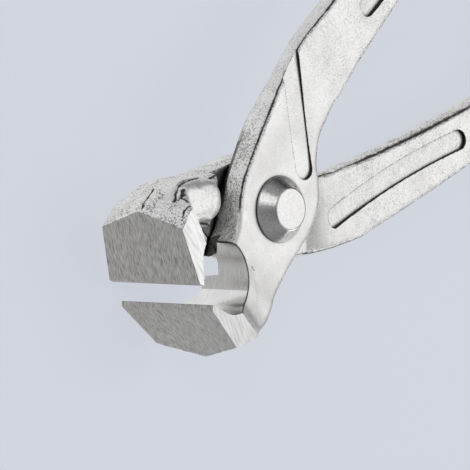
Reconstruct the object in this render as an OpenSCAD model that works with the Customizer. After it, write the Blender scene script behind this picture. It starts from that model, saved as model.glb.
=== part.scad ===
// End cutting nippers: two forged levers crossed in a lap joint on one rivet, with dipped grips.
// X runs along the tool toward the jaws, Z along the rivet, and the tool lies on its jaw ends.

/* [Whole tool] */
// Distance from the rivet axis to the end of the bare handles
handle_reach = 189; // [150:1:260]
// Angle of each lever away from the closed tool as it is drawn
rest_angle = 4.33; // [0.5:0.01:12]
// Angle between the levers from closed to fully open
opening_angle = 28; // [15:1:32]

/* [Jaws] */
// Distance from the rivet axis to the cutting edges
edge_reach = 28.3; // [27:0.1:34]
// Length of the cutting edges
jaw_width = 24; // [20:0.5:36]
// Height of a jaw's middle ridge over the line where the edges meet
jaw_height = 14.3; // [12:0.1:18]
// Angle at which the ground front face leans back
face_lean = 10.5; // [2:0.5:16]
// Height of the narrow second bevel at the cutting edge
strip_height = 0.76; // [0.3:0.02:1.5]
// Depth of the narrow second bevel along the tool
strip_depth = 0.68; // [0.2:0.02:1.5]
// Radius of the round space behind the cutting edges
mouth_radius = 7; // [5.5:0.1:7.2]
// Angle of the inner bevel to the tool's axis
bevel_angle = 58.6; // [54:0.1:64]
// Half of the gap left between the closed cutting edges
closed_gap = 0.04; // [0.02:0.01:0.2]
// How far each jaw end leans in over the jaw's height
end_lean = 1.9; // [0.5:0.1:4]

/* [Joint] */
// Thickness of one lever's plate at the joint
plate_thickness = 7; // [5.5:0.1:9]
// Free space between the two plates
lap_gap = 0.1; // [0.04:0.02:0.4]
// Free space between a plate's edge and the pocket that it turns in
pocket_gap = 0.35; // [0.2:0.05:1]
// Height of the round nose behind a jaw over the lap
nose_height = 5.7; // [4:0.1:6.4]
// Radius of the nose's narrow end beside the rivet
nose_radius = 4.1; // [3:0.1:5]
// Radius of the edge round the nose's top
nose_rounding = 1.9; // [1:0.1:2.4]
// Distance along the tool from the rivet axis to the middle of that end
nose_reach = 14.2; // [13:0.1:16]
// Distance of the middle of that end from the tool's axis
nose_offset = 9.3; // [8:0.1:11]
// Length of the nose between the middles of its two ends
nose_length = 4.4; // [2:0.1:6]
// Angle of the nose to the tool's axis
nose_angle = 30; // [0:1:60]
// Height over the lap at which the nose starts to round off toward the rivet
nose_foot = 1.6; // [0.4:0.1:3]
// Distance from the rivet axis at which it starts to round off
nose_start = 11.7; // [11:0.1:13]
// Radius with which it rounds off there
nose_fall = 3; // [2:0.1:4]
// Diameter of the rivet's shank
rivet_diameter = 8; // [5:0.1:10]
// Running clearance around the shank in the back lever
rivet_clearance = 0.05; // [0.02:0.01:0.1]
// Free space under the rivet's back head
head_gap = 0.06; // [0.04:0.01:0.2]
// Diameter at the foot of a rivet head
head_diameter = 12.5; // [11:0.1:15]
// Diameter of the flat top of a rivet head
head_top_diameter = 7.8; // [5:0.1:10]
// Height of a rivet head
head_height = 3.1; // [2:0.1:4.5]
// Height of the upright step at the foot of a rivet head
head_step = 0.4; // [0.2:0.05:1]

/* [Handles] */
// Half of the handle's thickness at its end
end_half_thickness = 3; // [2.2:0.1:3.5]
// Height over the lap that the first half of a handle is drawn toward
lift_bow = 7; // [4:0.1:8]
// Half of the handle's width at its end
end_half_width = 4; // [3:0.1:6]
// Distance from the tool's axis that the first half of a handle is drawn toward
bow_offset = 21.5; // [16:0.1:26]
// Distance from the tool's axis that the second half of a handle is drawn toward
sweep_offset = 24; // [18:0.1:32]
// Distance of the handle's end from the tool's axis
end_offset = 17; // [14:0.1:28]
// Size of the forged corners along the handle and the head
corner_size = 0.7; // [0.4:0.1:1.4]

/* [Grips] */
// Length of the dipped plastic grips
grip_length = 104; // [60:1:110]
// Thickness of the plastic at the handle's two narrow sides
grip_wall = 2.8; // [1.5:0.1:4]
// Thickness of the plastic over the handle's two flat faces
grip_face_wall = 2.2; // [1.5:0.1:4]
// Thickness of the plastic over the handle's end
grip_cap = 3; // [1.5:0.1:6]
// Extra thickness of the thumb stop at the front of a grip
grip_lip = 1.4; // [0.4:0.1:3]
// Length over which the thumb stop falls to the grip's own thickness
lip_length = 16; // [8:0.5:30]

/* [Sunk panels] */
// Depth of the sunk panels
panel_depth = 0.7; // [0.3:0.1:1]
// Width of the open panel beside the rivet
open_panel_width = 4.6; // [3:0.1:5]
// Distance along the tool from the rivet axis to that panel's round end
open_panel_reach = 10; // [9.7:0.1:12]
// Distance of that round end from the tool's axis
open_panel_offset = 2; // [0.5:0.1:3]
// Angle of the open panel to the tool's axis
open_panel_angle = 61.2; // [50:0.1:70]
// Width of the slot shaped panels on the handles
slot_width = 4.1; // [3:0.1:4.6]
// Distance along the tool from the rivet axis to the first end of the slot on the pocket side
pocket_slot_reach = 20.8; // [19:0.1:24]
// Distance of that end from the tool's axis
pocket_slot_offset = 13.8; // [12:0.1:16]
// Length of that slot, between the middles of its round ends
pocket_slot_length = 38; // [20:0.5:40]
// Angle of that slot to the tool's axis
pocket_slot_angle = 6.1; // [0:0.1:12]
// Distance along the tool from the rivet axis to the first end of the slot on the plate side
plate_slot_reach = 42; // [40:0.5:60]
// Distance of that end from the tool's axis
plate_slot_offset = 16; // [14:0.1:18]
// Length of that slot, between the middles of its round ends
plate_slot_length = 26; // [12:0.5:30]
// Angle of that slot to the tool's axis
plate_slot_angle = 5.4; // [0:0.1:12]

/* [Hidden] */
half_jaw = jaw_width / 2;
overrun = jaw_width / 8;
blank_half_jaw = half_jaw + overrun / 6;
half_gap = lap_gap / 2;
bore_radius = rivet_diameter / 2;
mouth_reach = edge_reach - mouth_radius / sin(bevel_angle);
open_panel_length = 2 * jaw_height;
tip_x = (edge_reach + strip_depth) * cos(rest_angle) - strip_height * sin(rest_angle);
tool_end_x = (handle_reach + grip_cap) * cos(rest_angle) - end_offset * sin(rest_angle);
centre_shift = (tool_end_x - tip_x) / 2;
row_steps = 2;
bare_rings = 16;
grip_rings = 20;
cap_rings = 4;
nose_step = 18;
nose_sides = 40;
lap_side_share = 0.15;
pocket_step = 4;
full_turn = 360;
spine_step = 0.01;
grip_squareness = 3;
corner_bend = 1 - sqrt(0.5);
ring_points = 14;
round_steps = 96;

// Rows run from the jaw to the handle, each across the lever. A row holds its inner point and its
// outer point, X as a share of the edge reach and Y as a share of the jaw height. Two shares
// follow for its two faces, from 0 at the plate to 1 at the jaw's end on the plate side and from 0
// at the lap to 1 at the jaw's end on the pocket side, then the slopes of its inner side toward
// the plate face and the pocket face, and the same two slopes of its outer side.
row_shares = [
    [1.06, -0.07, 1.060, 0.960, 1, 1, 0, 0, 0.33, 0.33],
    [0.92, -0.07, 0.933, 1.000, 1, 1, 0, 0, 0.27, 0.27],
    [0.83, -0.07, 0.795, 1.050, 0.91, 0.90, 0, 0, 0.24, 0.2],
    [0.76, -0.07, 0.690, 1.060, 0.42, 0.52, 0, 0, 0.3, 0.2],
    [0.67, -0.08, 0.583, 1.040, 0.25, 0.37, 0, 0, 0.28, 0.2],
    [0.58, -0.12, 0.477, 1.004, 0.15, 0.39, 0.05, 0.1, 0.2, 0.19],
    [0.505, -0.18, 0.371, 0.951, 0.05, 0.38, 0.1, 0.2, 0.15, 0.15],
    [0.435, -0.24, 0.258, 0.888, 0, 0.26, 0.12, 0.3, 0.12, 0.12],
    [0.36, -0.34, 0.134, 0.825, 0, 0.12, 0.12, 0.4, 0.12, 0.12],
    [0.29, -0.49, 0.018, 0.770, 0, 0.08, 0.12, 0.5, 0.12, 0.12],
    [0.215, -0.63, -0.113, 0.706, 0, 0.08, 0.12, 0.6, 0.12, 0.12],
    [0.13, -0.75, -0.230, 0.594, 0, 0.08, 0.12, 0.65, 0.12, 0.12],
    [0.03, -0.85, -0.343, 0.448, 0, 0.08, 0.12, 0.65, 0.12, 0.12],
    [-0.088, -0.955, -0.428, 0.224, -0.01, 0.08, 0.12, 0.6, 0.12, 0.12],
    [-0.212, -1.06, -0.477, 0.059, -0.06, 0.06, 0.12, 0.45, 0.12, 0.12],
    [-0.353, -1.16, -0.530, -0.056, -0.1, -0.04, 0.12, 0.3, 0.12, 0.12],
    [-0.505, -1.245, -0.625, -0.217, -0.13, -0.13, 0.11, 0.2, 0.11, 0.11],
    [-0.67, -1.322, -0.742, -0.315, -0.14, -0.175, 0.1, 0.1, 0.1, 0.1],
    [-0.85, -1.385, -0.887, -0.413, -0.14, -0.185, 0.1, 0.1, 0.1, 0.1]
];

function plate_side(share) = plate_thickness + share * (blank_half_jaw - plate_thickness);

function pocket_side(share) = share * blank_half_jaw;

function sized(row) = [
    row[0] * edge_reach,
    row[1] * jaw_height,
    row[2] * edge_reach,
    row[3] * jaw_height,
    plate_side(row[4]),
    pocket_side(row[5]),
    row[6],
    row[7],
    row[8],
    row[9]
];

rows = [for (row = row_shares) sized(row)];
last_row = rows[len(rows) - 1];
root_x = (last_row[0] + last_row[2]) / 2;
root_y = (last_row[1] + last_row[3]) / 2;
root_half_width = (last_row[3] - last_row[1]) / 2;
root_half_thickness = (last_row[4] + last_row[5]) / 2;
root_lift = (last_row[4] - last_row[5]) / 2;
handle_span = handle_reach + root_x;

// Smooth curve between the middle two of four neighbouring rows.
function curved(a, b, c, d, t) =
    b + ((c - a) * t + (2 * a - 5 * b + 4 * c - d) * t * t + (3 * b - a - 3 * c + d) * t * t * t) / 2;

function row_at(i) = rows[min(max(i, 0), len(rows) - 1)];

head_rows = [
    for (i = [0 : len(rows) - 2])
        for (k = [0 : row_steps - 1])
            curved(row_at(i - 1), row_at(i), row_at(i + 1), row_at(i + 2), k / row_steps)
];

// Places along the handle run from 0 at the head to 1 at the bare end.
function spine_x(u) = root_x - handle_span * u;

function spine_y(u) =
    pow(1 - u, 3) * root_y
    - 3 * u * pow(1 - u, 2) * bow_offset
    - 3 * u * u * (1 - u) * sweep_offset
    - pow(u, 3) * end_offset;

function spine_angle(u) =
    atan2(spine_y(u - spine_step) - spine_y(u + spine_step), 2 * spine_step * handle_span);

function half_width(u) = end_half_width + (root_half_width - end_half_width) * pow(1 - u, 4);

// Both handles leave the joint on their own plate's side and come to the middle at their ends.
function half_thickness(u) =
    end_half_thickness + (root_half_thickness - end_half_thickness) * pow(1 - u, 4);

function lift(u) = pow(1 - u, 3) * root_lift + 3 * u * pow(1 - u, 2) * lift_bow;

function plate_face(u) = lift(u) + half_thickness(u);

function pocket_face(u) = half_thickness(u) - lift(u);

function place_of(x) = max(0, (root_x - x) / handle_span);

// A handle row stands square to the handle's middle line, after the head's last row.
function handle_row(u) =
    let (turn = spine_angle(u) * min(1, u / spine_step))
    [
        spine_x(u) + half_width(u) * sin(turn),
        spine_y(u) - half_width(u) * cos(turn),
        spine_x(u) - half_width(u) * sin(turn),
        spine_y(u) + half_width(u) * cos(turn),
        plate_face(u),
        pocket_face(u),
        last_row[6],
        last_row[7],
        last_row[8],
        last_row[9]
    ];

grip_place = place_of(grip_length - handle_reach);
bare_rows = [for (k = [0 : bare_rings - 1]) handle_row(grip_place * k / bare_rings)];
gripped_places = [for (k = [0 : grip_rings]) grip_place + (1 - grip_place) * k / grip_rings];
gripped_rows = [for (u = gripped_places) handle_row(u)];
lever_rows = concat(head_rows, bare_rows, gripped_rows);

// One closed ring of a lever: flat faces, forged corners and drafted sides with a middle ridge.
function lever_ring(row) =
    let (inner = [row[0], row[1]])
    let (outer = [row[2], row[3]])
    let (top = row[4])
    let (bottom = -row[5])
    let (middle = (top + bottom) / 2)
    let (across = (outer - inner) / norm(outer - inner))
    let (cut = corner_size)
    let (bend = corner_size * corner_bend)
    [
        for (step = [
            [1, middle, 0],
            [1, top - cut, 0],
            [1, top - bend, bend],
            [1, top, cut],
            [0, top, cut],
            [0, top - bend, bend],
            [0, top - cut, 0],
            [0, middle, 0],
            [0, bottom + cut, 0],
            [0, bottom + bend, bend],
            [0, bottom, cut],
            [1, bottom, cut],
            [1, bottom + bend, bend],
            [1, bottom + cut, 0]
        ])
            let (slope = row[6 + 2 * step[0] + (step[1] > middle ? 0 : 1)])
            let (inset = slope * abs(step[1] - middle) + step[2])
            let (point = step[0] == 1 ? outer - across * inset : inner + across * inset)
            [point[0], point[1], step[1]]
    ];

// Closed body through rings that all have the same number of points.
module skin(rings) {
    count = len(rings[0]);
    last = len(rings) - 1;
    near_sides = [
        for (i = [0 : last - 1])
            for (k = [0 : count - 1])
                [i * count + k, (i + 1) * count + (k + 1) % count, (i + 1) * count + k]
    ];
    far_sides = [
        for (i = [0 : last - 1])
            for (k = [0 : count - 1])
                [i * count + k, i * count + (k + 1) % count, (i + 1) * count + (k + 1) % count]
    ];
    polyhedron(
        points = [for (ring = rings) for (point = ring) point],
        faces = concat(
            [[for (k = [count - 1 : -1 : 0]) k]],
            near_sides,
            far_sides,
            [[for (k = [0 : count - 1]) last * count + k]]
        )
    );
}

// Edge of the other lever's plate, as angles round the rivet and distances from it, tool closed.
function wrapped(angle) = angle > 0 ? angle - full_turn : angle;

function back_edge(row) = [wrapped(atan2(-row[3], row[2])), norm([row[2], row[3]])];

function mouth_side_edge(row) = [atan2(-row[1], row[0]), norm([row[0], row[1]])];

plate_edge = concat(
    [for (i = [17 : -1 : 5]) back_edge(rows[i])],
    [for (i = [6 : 16]) mouth_side_edge(rows[i])]
);
first_edge_angle = plate_edge[0][0];

function swept_radius(angle) =
    max([for (turn = [0 : pocket_step : opening_angle + pocket_step]) lookup(angle + turn, plate_edge)]);

// The pocket reaches past the lever's edge wherever it faces the handle.
function pocket_radius(angle) =
    max(swept_radius(angle) + pocket_gap, cos(angle) < lap_side_share ? 2 * nose_start : 0);

pocket_outline = [
    for (step = [0 : pocket_step : full_turn - pocket_step])
        let (angle = first_edge_angle + step)
        [pocket_radius(angle) * cos(angle), pocket_radius(angle) * sin(angle)]
];

// Space that the other lever's plate sweeps, cut from the pocket side only.
module pocket() {
    translate([0, 0, half_gap - half_jaw - overrun])
        linear_extrude(height = half_jaw + overrun)
            polygon(pocket_outline);
}

// Round nose behind the jaw on the pocket side, with a rounded edge round its top.
module nose() {
    edge = nose_radius - nose_rounding;
    translate([nose_reach, nose_offset, 0])
        rotate([180, 0, nose_angle])
            hull()
                for (place = [0, nose_length])
                    translate([place, 0, -plate_thickness / 2])
                        rotate_extrude($fn = nose_sides)
                            polygon(concat(
                                [[0, 0], [nose_radius, 0]],
                                [
                                    for (turn = [0 : nose_step : 90])
                                        [
                                            edge + nose_rounding * cos(turn),
                                            nose_height + plate_thickness / 2 - nose_rounding * (1 - sin(turn))
                                        ]
                                ],
                                [[0, nose_height + plate_thickness / 2]]
                            ));
}

// Cutter that rounds the nose where it faces the other lever's plate.
module nose_end() {
    rotate_extrude($fn = round_steps)
        polygon(concat(
            [[0, -half_jaw - overrun], [nose_start + nose_fall, -half_jaw - overrun]],
            [
                for (turn = [90 : -nose_step : 0])
                    [nose_start + nose_fall * (1 - cos(turn)), -nose_foot - nose_fall * sin(turn)]
            ],
            [[0, -nose_foot]]
        ));
}

// Prism through the whole width of the jaws.
module through_jaws() {
    translate([0, 0, -half_jaw - overrun])
        linear_extrude(height = jaw_width + 2 * overrun)
            children();
}

// Round space behind the edges, and the inner bevel that runs from it to the edge.
module mouth() {
    touch_x = mouth_reach + mouth_radius * sin(bevel_angle);
    touch_y = mouth_radius * cos(bevel_angle);
    translate([mouth_reach, 0, -half_jaw - overrun])
        cylinder(r = mouth_radius, h = jaw_width + 2 * overrun, $fn = round_steps);
    through_jaws()
        polygon([
            [mouth_reach, -jaw_height / 2],
            [mouth_reach, mouth_radius / 2],
            [touch_x, touch_y],
            [edge_reach, 0],
            [edge_reach, -jaw_height / 2]
        ]);
}

// Everything before the ground front face and its narrow second bevel, and past the closed edges.
module jaw_front() {
    face_x = edge_reach + strip_depth;
    far_x = edge_reach + jaw_height;
    far_y = 2 * jaw_height;
    through_jaws()
        polygon([
            [mouth_reach, closed_gap],
            [edge_reach + strip_depth * closed_gap / strip_height, closed_gap],
            [face_x, strip_height],
            [face_x - far_y * tan(face_lean), strip_height + far_y],
            [far_x, strip_height + far_y],
            [far_x, -jaw_height],
            [mouth_reach, -jaw_height]
        ]);
}

// What lies past one ground end of the jaws, which leans in over the jaw's height.
module jaw_end() {
    lean = end_lean / jaw_height;
    far = jaw_height + overrun;
    translate([mouth_reach - mouth_radius / 2, 0, 0])
        rotate([90, 0, 90])
            linear_extrude(height = edge_reach)
                polygon([
                    [-far, half_jaw + lean * far],
                    [far, half_jaw - lean * far],
                    [far, half_jaw + far],
                    [-far, half_jaw + far]
                ]);
}

// Cutter with round ends and a flat floor that falls with the face from its start to its end.
module panel(start_x, start_y, angle, length, width, start_z, end_z) {
    translate([start_x, start_y, start_z - panel_depth])
        rotate([0, 0, angle])
            rotate([0, atan2(start_z - end_z, length), 0]) {
                translate([0, -width / 2, 0])
                    cube([length, width, overrun]);
                cylinder(d = width, h = overrun, $fn = round_steps);
                translate([length, 0, 0])
                    cylinder(d = width, h = overrun, $fn = round_steps);
            }
}

// Open panel on the plate side, from beside the rivet out through the lever's edge.
module open_panel() {
    panel(
        -open_panel_reach,
        -open_panel_offset,
        open_panel_angle - full_turn / 2,
        open_panel_length,
        open_panel_width,
        plate_thickness,
        last_row[4]
    );
}

// Slot shaped panel along a handle, with a floor that follows the handle's face.
module handle_slot(reach, offset, length, angle, start_z, end_z) {
    panel(-reach, -offset, full_turn / 2 + angle, length, slot_width, start_z, end_z);
}

// One forging, closed: its jaw lies toward +Y, its handle toward -Y and its plate above Z 0.
module lever(bore) {
    difference() {
        union() {
            skin([for (row = lever_rows) lever_ring(row)]);
            nose();
        }
        pocket();
        nose_end();
        mouth();
        jaw_front();
        jaw_end();
        mirror([0, 0, 1])
            jaw_end();
        open_panel();
        handle_slot(
            plate_slot_reach,
            plate_slot_offset,
            plate_slot_length,
            plate_slot_angle,
            plate_face(place_of(-plate_slot_reach)),
            plate_face(place_of(-plate_slot_reach - plate_slot_length))
        );
        mirror([0, 0, 1])
            handle_slot(
                pocket_slot_reach,
                pocket_slot_offset,
                pocket_slot_length,
                pocket_slot_angle,
                pocket_face(place_of(-pocket_slot_reach)),
                pocket_face(place_of(-pocket_slot_reach - pocket_slot_length))
            );
        translate([0, 0, -half_jaw])
            cylinder(r = bore, h = jaw_width, $fn = round_steps);
    }
}

// Thickness that the grip adds at a place along it, from its thumb stop to its plain part.
function lip(u) =
    let (distance = (u - grip_place) * handle_span)
    grip_lip * max(0, 1 - distance / lip_length) * max(0, 1 - distance / lip_length);

// One round cornered ring of a grip, with its size drawn in by a factor toward the grip's end.
function grip_ring(u, along, size) =
    let (middle = [spine_x(u) - along * cos(spine_angle(u)), spine_y(u) - along * sin(spine_angle(u))])
    let (side = half_width(u) + size * (grip_wall + lip(u)) - (1 - size) * half_width(u))
    let (face = half_thickness(u) + size * (grip_face_wall + lip(u)) - (1 - size) * half_thickness(u))
    [
        for (k = [0 : ring_points - 1])
            let (angle = k * full_turn / ring_points)
            let (out = side * sign(cos(angle)) * pow(abs(cos(angle)), 2 / grip_squareness))
            let (up = face * sign(sin(angle)) * pow(abs(sin(angle)), 2 / grip_squareness))
            [
                middle[0] - out * sin(spine_angle(u)),
                middle[1] + out * cos(spine_angle(u)),
                lift(u) + up
            ]
    ];

// Dipped grip: the skin runs up its inside, over its front edge and back to its closed end.
module grip() {
    inside = [for (k = [grip_rings : -1 : 0]) lever_ring(gripped_rows[k])];
    outside = [for (u = gripped_places) grip_ring(u, 0, 1)];
    cap = [
        for (k = [1 : cap_rings])
            let (turn = 90 * k / (cap_rings + 1))
            grip_ring(1, grip_cap * sin(turn), cos(turn))
    ];
    skin(concat(inside, outside, cap));
}

// Turns a body of the closed front lever to its place in the drawn tool.
module front_side() {
    translate([centre_shift, 0, half_jaw])
        rotate([0, 0, rest_angle])
            children();
}

// The back lever is the same forging turned over along the tool.
module back_side() {
    translate([centre_shift, 0, half_jaw])
        rotate([0, 0, -rest_angle])
            rotate([180, 0, 0])
                children();
}

module lever_front() {
    color([0.83, 0.83, 0.82])
        front_side()
            lever(bore_radius);
}

module lever_back() {
    color([0.8, 0.8, 0.79])
        back_side()
            lever(bore_radius + rivet_clearance);
}

module rivet() {
    front = plate_thickness;
    back = -plate_thickness - head_gap;
    foot = head_diameter / 2;
    top = head_top_diameter / 2;
    color([0.72, 0.72, 0.71])
        front_side()
            rotate_extrude($fn = round_steps)
                polygon([
                    [0, front + head_height],
                    [top, front + head_height],
                    [foot, front + head_step],
                    [foot, front],
                    [bore_radius, front],
                    [bore_radius, back],
                    [foot, back],
                    [foot, back - head_step],
                    [top, back - head_height],
                    [0, back - head_height]
                ]);
}

module grip_front() {
    color([0.75, 0.08, 0.07])
        front_side()
            grip();
}

module grip_back() {
    color([0.75, 0.08, 0.07])
        back_side()
            grip();
}

lever_front();
lever_back();
rivet();
grip_front();
grip_back();
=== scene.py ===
import math
import bmesh
import bpy
from mathutils import Matrix, Vector, noise


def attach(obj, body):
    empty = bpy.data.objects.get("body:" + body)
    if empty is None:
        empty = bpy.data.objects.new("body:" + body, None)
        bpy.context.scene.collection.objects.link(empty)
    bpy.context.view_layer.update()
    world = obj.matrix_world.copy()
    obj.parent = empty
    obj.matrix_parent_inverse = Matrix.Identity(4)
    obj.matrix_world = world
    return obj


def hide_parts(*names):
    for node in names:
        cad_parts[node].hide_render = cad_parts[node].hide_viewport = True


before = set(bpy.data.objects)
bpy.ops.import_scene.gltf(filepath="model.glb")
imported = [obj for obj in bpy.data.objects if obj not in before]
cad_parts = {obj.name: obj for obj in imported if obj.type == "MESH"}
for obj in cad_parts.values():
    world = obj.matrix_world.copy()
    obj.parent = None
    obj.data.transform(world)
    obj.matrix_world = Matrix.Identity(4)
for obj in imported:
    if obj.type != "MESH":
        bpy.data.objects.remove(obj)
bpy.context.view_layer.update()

mm = 0.001
scene = bpy.context.scene
pivot = Vector((0.080664, 0, 0.012))  # middle of the rivet

viewpoint = {
    "place": (0.66676, -0.41080, 0.71040),  # camera position in metres
    "right": (-0.59010, 0.37850, 0.71310),
    "down": (0.56020, 0.82800, 0.02410),
    "lens": 408.16,
    "sensorWidth": 36,
    "clip": (0.05, 20),
}

studio = {
    "floorColour": (0.651, 0.679, 0.745),
    "shownFloor": (0.755, 0.788, 0.864),  # the same floor as the camera sees it
    "floorSize": 6.0,
    "floorHeight": -0.0002,
    "mirroredFloor": (1.0, 0.995, 0.99),  # what polished metal picks up close by
    "mirroredFar": (0.07, 0.07, 0.072),  # and further off, outside the pool of light
    "poolOfLight": (0.10, 0.36),  # where that pool starts to fade and where it is gone
    "shadowShare": 0.3,  # how much of the floor's own shading the camera sees
    "horizonColour": (0.22, 0.22, 0.23),
    "zenithColour": (0.62, 0.62, 0.63),
    "darkSide": 0.04,  # how bright the low studio wall on the far left is
    "darkSideSpread": -1.4,  # how fast it darkens toward the left
    "darkSideRise": 2.2,  # how fast it gives way higher up
    "darkSideRange": (0.10, 0.75),
    "worldStrength": 1.0,
}

lamps = {
    "overheadSoftbox": {"place": (-0.52, 0.30, 0.78), "size": 0.8, "power": 1.75},
    "sideSoftbox": {"place": (0.42, -1.00, 0.62), "size": 0.7, "power": 1.8},
    "backStrip": {"place": (-0.25, 1.00, 0.24), "size": 0.5, "power": 1.7},
}
lampTarget = Vector((0.08, 0, 0.01))


def addCamera(settings):
    data = bpy.data.cameras.new("photoCamera")
    data.sensor_width = settings["sensorWidth"]
    data.lens = settings["lens"]
    data.clip_start, data.clip_end = settings["clip"]
    camera = bpy.data.objects.new("photoCamera", data)
    scene.collection.objects.link(camera)
    right = Vector(settings["right"]).normalized()
    up = -Vector(settings["down"])
    up = (up - right * up.dot(right)).normalized()
    turn = Matrix((right, up, right.cross(up))).transposed().to_4x4()
    camera.matrix_world = Matrix.Translation(settings["place"]) @ turn
    scene.camera = camera


def addLamp(name, settings):
    data = bpy.data.lights.new(name, "AREA")
    data.shape = "SQUARE"
    data.size = settings["size"]
    data.energy = settings["power"]
    lamp = bpy.data.objects.new(name, data)
    scene.collection.objects.link(lamp)
    lamp.location = settings["place"]
    lamp.rotation_mode = "QUATERNION"
    lamp.rotation_quaternion = (Vector(settings["place"]) - lampTarget).to_track_quat("Z", "Y")


# gives a socket a link, a colour or a plain value
def feed(tree, socket, value):
    if isinstance(value, bpy.types.NodeSocket):
        tree.links.new(value, socket)
    else:
        socket.default_value = (*value, 1) if socket.type == "RGBA" else value


def addNode(tree, kind, inputs=None, **settings):
    node = tree.nodes.new(kind)
    for key, value in settings.items():
        setattr(node, key, value)
    for key, value in (inputs or {}).items():
        feed(tree, node.inputs[key], value)
    return node


# the same, for a node of which only the first output is used
def wired(tree, kind, inputs=None, **settings):
    return addNode(tree, kind, inputs, **settings).outputs[0]


def formula(tree, operation, *values):
    return wired(tree, "ShaderNodeMath", dict(enumerate(values)), operation=operation)


def newMaterial(name):
    material = bpy.data.materials.new(name)
    material.use_nodes = True
    tree = material.node_tree
    tree.nodes.clear()
    return material, tree, addNode(tree, "ShaderNodeTexCoord").outputs


def setSurface(tree, inputs):
    surface = wired(tree, "ShaderNodeBsdfPrincipled", inputs)
    addNode(tree, "ShaderNodeOutputMaterial", {"Surface": surface})


def grain(tree, place, scale, detail=3, stretch=None, turn=(0, 0, 0)):
    if stretch:
        mapping = {"Vector": place, "Scale": stretch, "Rotation": turn}
        place = wired(tree, "ShaderNodeMapping", mapping)
    return wired(tree, "ShaderNodeTexNoise", {"Vector": place, "Scale": scale, "Detail": detail})


def between(span, first, second):
    return list(zip(span, (first, second)))


def grey(tone):
    return (tone, tone, tone)


def graded(tree, value, stops):
    node = addNode(tree, "ShaderNodeValToRGB", {"Fac": value})
    while len(node.color_ramp.elements) < len(stops):
        node.color_ramp.elements.new(0.5)
    for element, (position, colour) in zip(node.color_ramp.elements, stops):
        element.position = position
        element.color = (*colour, 1)
    return node.outputs["Color"]


def ranged(tree, value, low, high):
    return wired(tree, "ShaderNodeMapRange", {"Value": value, "To Min": low, "To Max": high})


def blended(tree, kind, share, first, second):
    inputs = {"Factor": share, "A": first, "B": second}
    mix = addNode(tree, "ShaderNodeMix", inputs, data_type="RGBA", blend_type=kind)
    return mix.outputs["Result"]


def bumped(tree, value, height, before=None, strength=1.0):
    inputs = {"Height": value, "Distance": height, "Strength": strength}
    if before is not None:
        inputs["Normal"] = before
    return wired(tree, "ShaderNodeBump", inputs)


def floorMaterial(settings):
    material, tree, places = newMaterial("paleFloor")
    seen = addNode(tree, "ShaderNodeLightPath").outputs
    diffuse = wired(tree, "ShaderNodeBsdfDiffuse", {"Color": settings["floorColour"]})
    distance = addNode(tree, "ShaderNodeVectorMath", {0: places["Object"]}, operation="LENGTH")
    near, far = settings["poolOfLight"]
    reach = {"Value": distance.outputs["Value"], "From Min": near, "From Max": far}
    reach = wired(tree, "ShaderNodeMapRange", reach)
    pool = blended(tree, "MIX", reach, settings["mirroredFloor"], settings["mirroredFar"])
    tint = blended(tree, "MIX", seen["Is Glossy Ray"], settings["shownFloor"], pool)
    glow = wired(tree, "ShaderNodeEmission", {"Color": tint})
    either = formula(tree, "MAXIMUM", seen["Is Camera Ray"], seen["Is Glossy Ray"])
    share = formula(tree, "MULTIPLY", either, 1 - settings["shadowShare"])
    surface = wired(tree, "ShaderNodeMixShader", {0: share, 1: diffuse, 2: glow})
    addNode(tree, "ShaderNodeOutputMaterial", {"Surface": surface})
    return material


def addFloor(settings):
    half, height = settings["floorSize"] / 2, settings["floorHeight"]
    corners = [(-half, -half, height), (half, -half, height), (half, half, height), (-half, half, height)]
    mesh = bpy.data.meshes.new("floor")
    mesh.from_pydata(corners, [], [(0, 1, 2, 3)])
    floor = bpy.data.objects.new("floor", mesh)
    scene.collection.objects.link(floor)
    mesh.materials.append(floorMaterial(settings))


def lightWorld(settings):
    world = bpy.data.worlds.new("studioWorld")
    world.use_nodes = True
    tree = world.node_tree
    place = addNode(tree, "ShaderNodeTexCoord").outputs["Generated"]
    split = addNode(tree, "ShaderNodeSeparateXYZ", {0: place})
    sideways, upward = split.outputs["X"], split.outputs["Z"]
    sky = blended(tree, "MIX", upward, settings["horizonColour"], settings["zenithColour"])
    left = formula(tree, "MULTIPLY", sideways, settings["darkSideSpread"])
    low = formula(tree, "SUBTRACT", 1.0, formula(tree, "MULTIPLY", upward, settings["darkSideRise"]))
    shadeStops = between(settings["darkSideRange"], grey(1), grey(settings["darkSide"]))
    shade = graded(tree, formula(tree, "MULTIPLY", left, low), shadeStops)
    background = tree.nodes["Background"]
    feed(tree, background.inputs["Color"], blended(tree, "MULTIPLY", 1.0, sky, shade))
    feed(tree, background.inputs["Strength"], settings["worldStrength"])
    scene.world = world


addCamera(viewpoint)
addFloor(studio)
lightWorld(studio)
for lampName, lampSettings in lamps.items():
    addLamp(lampName, lampSettings)
scene.view_settings.view_transform = "Standard"
print("studio ready")


# reach of the painted shade in corners, its darkest tone, and the openness where it starts and ends
paintedCornerShade = ((0.0034, 0.08, 0.20, 0.58), (0.0011, 0.10, 0.52, 0.80))
# the same painted shade, as a dark ring round the rivet's foot
rivetFootPaintedShade = ((0.0016, 0.08, 0.50, 0.80),)
paintedShadeSamples = 5

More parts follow.
